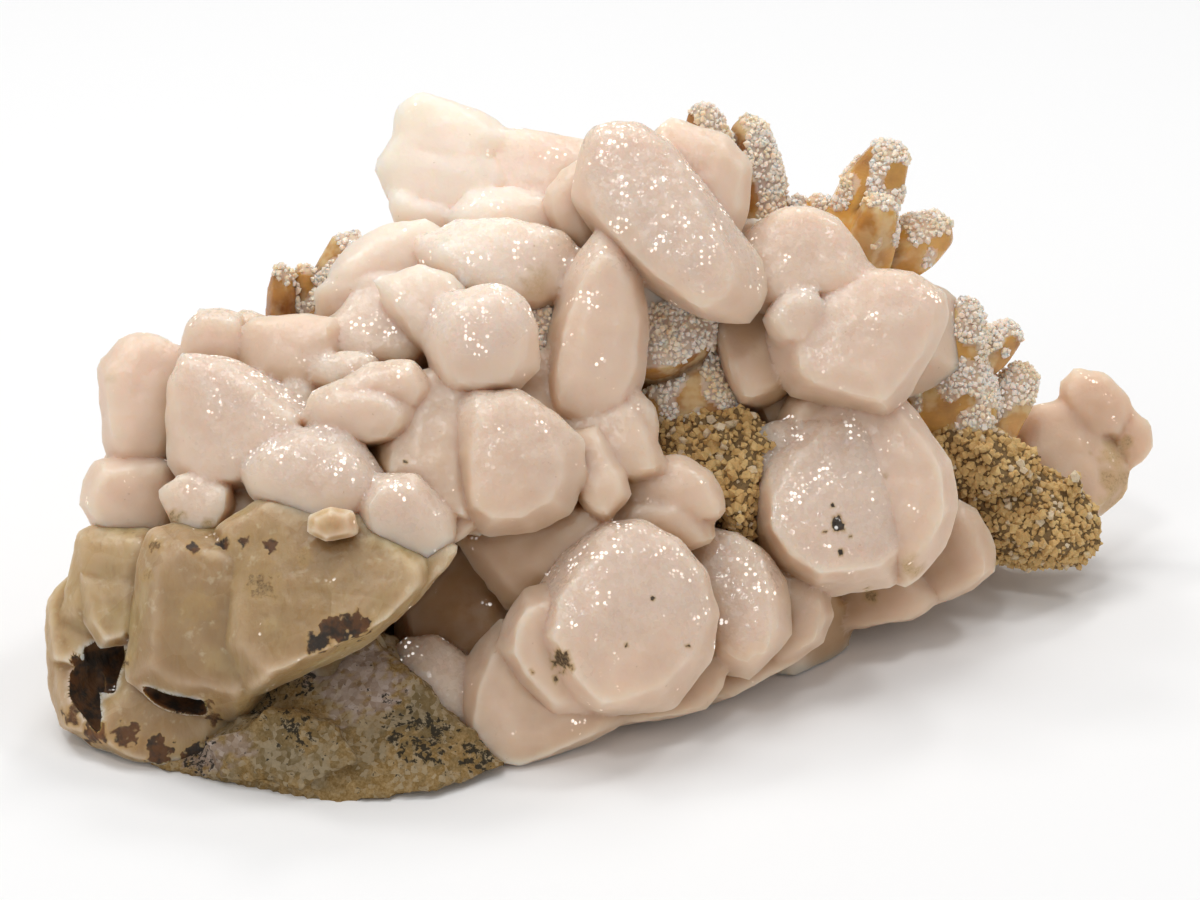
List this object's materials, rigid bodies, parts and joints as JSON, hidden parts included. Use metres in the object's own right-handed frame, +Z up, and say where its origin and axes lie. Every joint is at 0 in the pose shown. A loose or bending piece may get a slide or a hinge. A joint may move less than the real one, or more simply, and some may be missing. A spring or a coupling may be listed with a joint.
{
  "type": "calcite with quartz mineral specimen",
  "caption": "Free-standing mineral specimen of intergrown rounded calcite crystals over druse-coated quartz points, rusty crust and wall rock cut flat underneath.",
  "frame": {"origin": "middle of the specimen's own box, on the surface that it rests on", "axes": "+X along the length, to the right seen from the front; -Y is the front; +Z up"},
  "size_m": [0.1726, 0.0992, 0.0825],
  "materials": {
    "wall_rock": "matte broken rock with dark specks",
    "iron_crust": "matte granular rusty crust",
    "quartz": "glassy golden brown crystal under a pale sugary druse",
    "stained_calcite": "yellow-stained translucent calcite with rust hollows",
    "calcite": "milky pink-white translucent, frosted and glittering on top"
  },
  "bodies": {
    "root": {"wall_rock": "wall_rock", "iron_crust_right": "iron_crust", "iron_crust_middle": "iron_crust", "quartz_points_top": "quartz", "quartz_points_upper_right": "quartz", "quartz_points_right": "quartz", "quartz_points_middle": "quartz", "quartz_point_in_gap": "quartz", "quartz_points_left": "quartz", "stained_calcite_block": "stained_calcite", "calcite_pair_right": "calcite", "calcite_cluster": "calcite"}
  },
  "joints": []
}
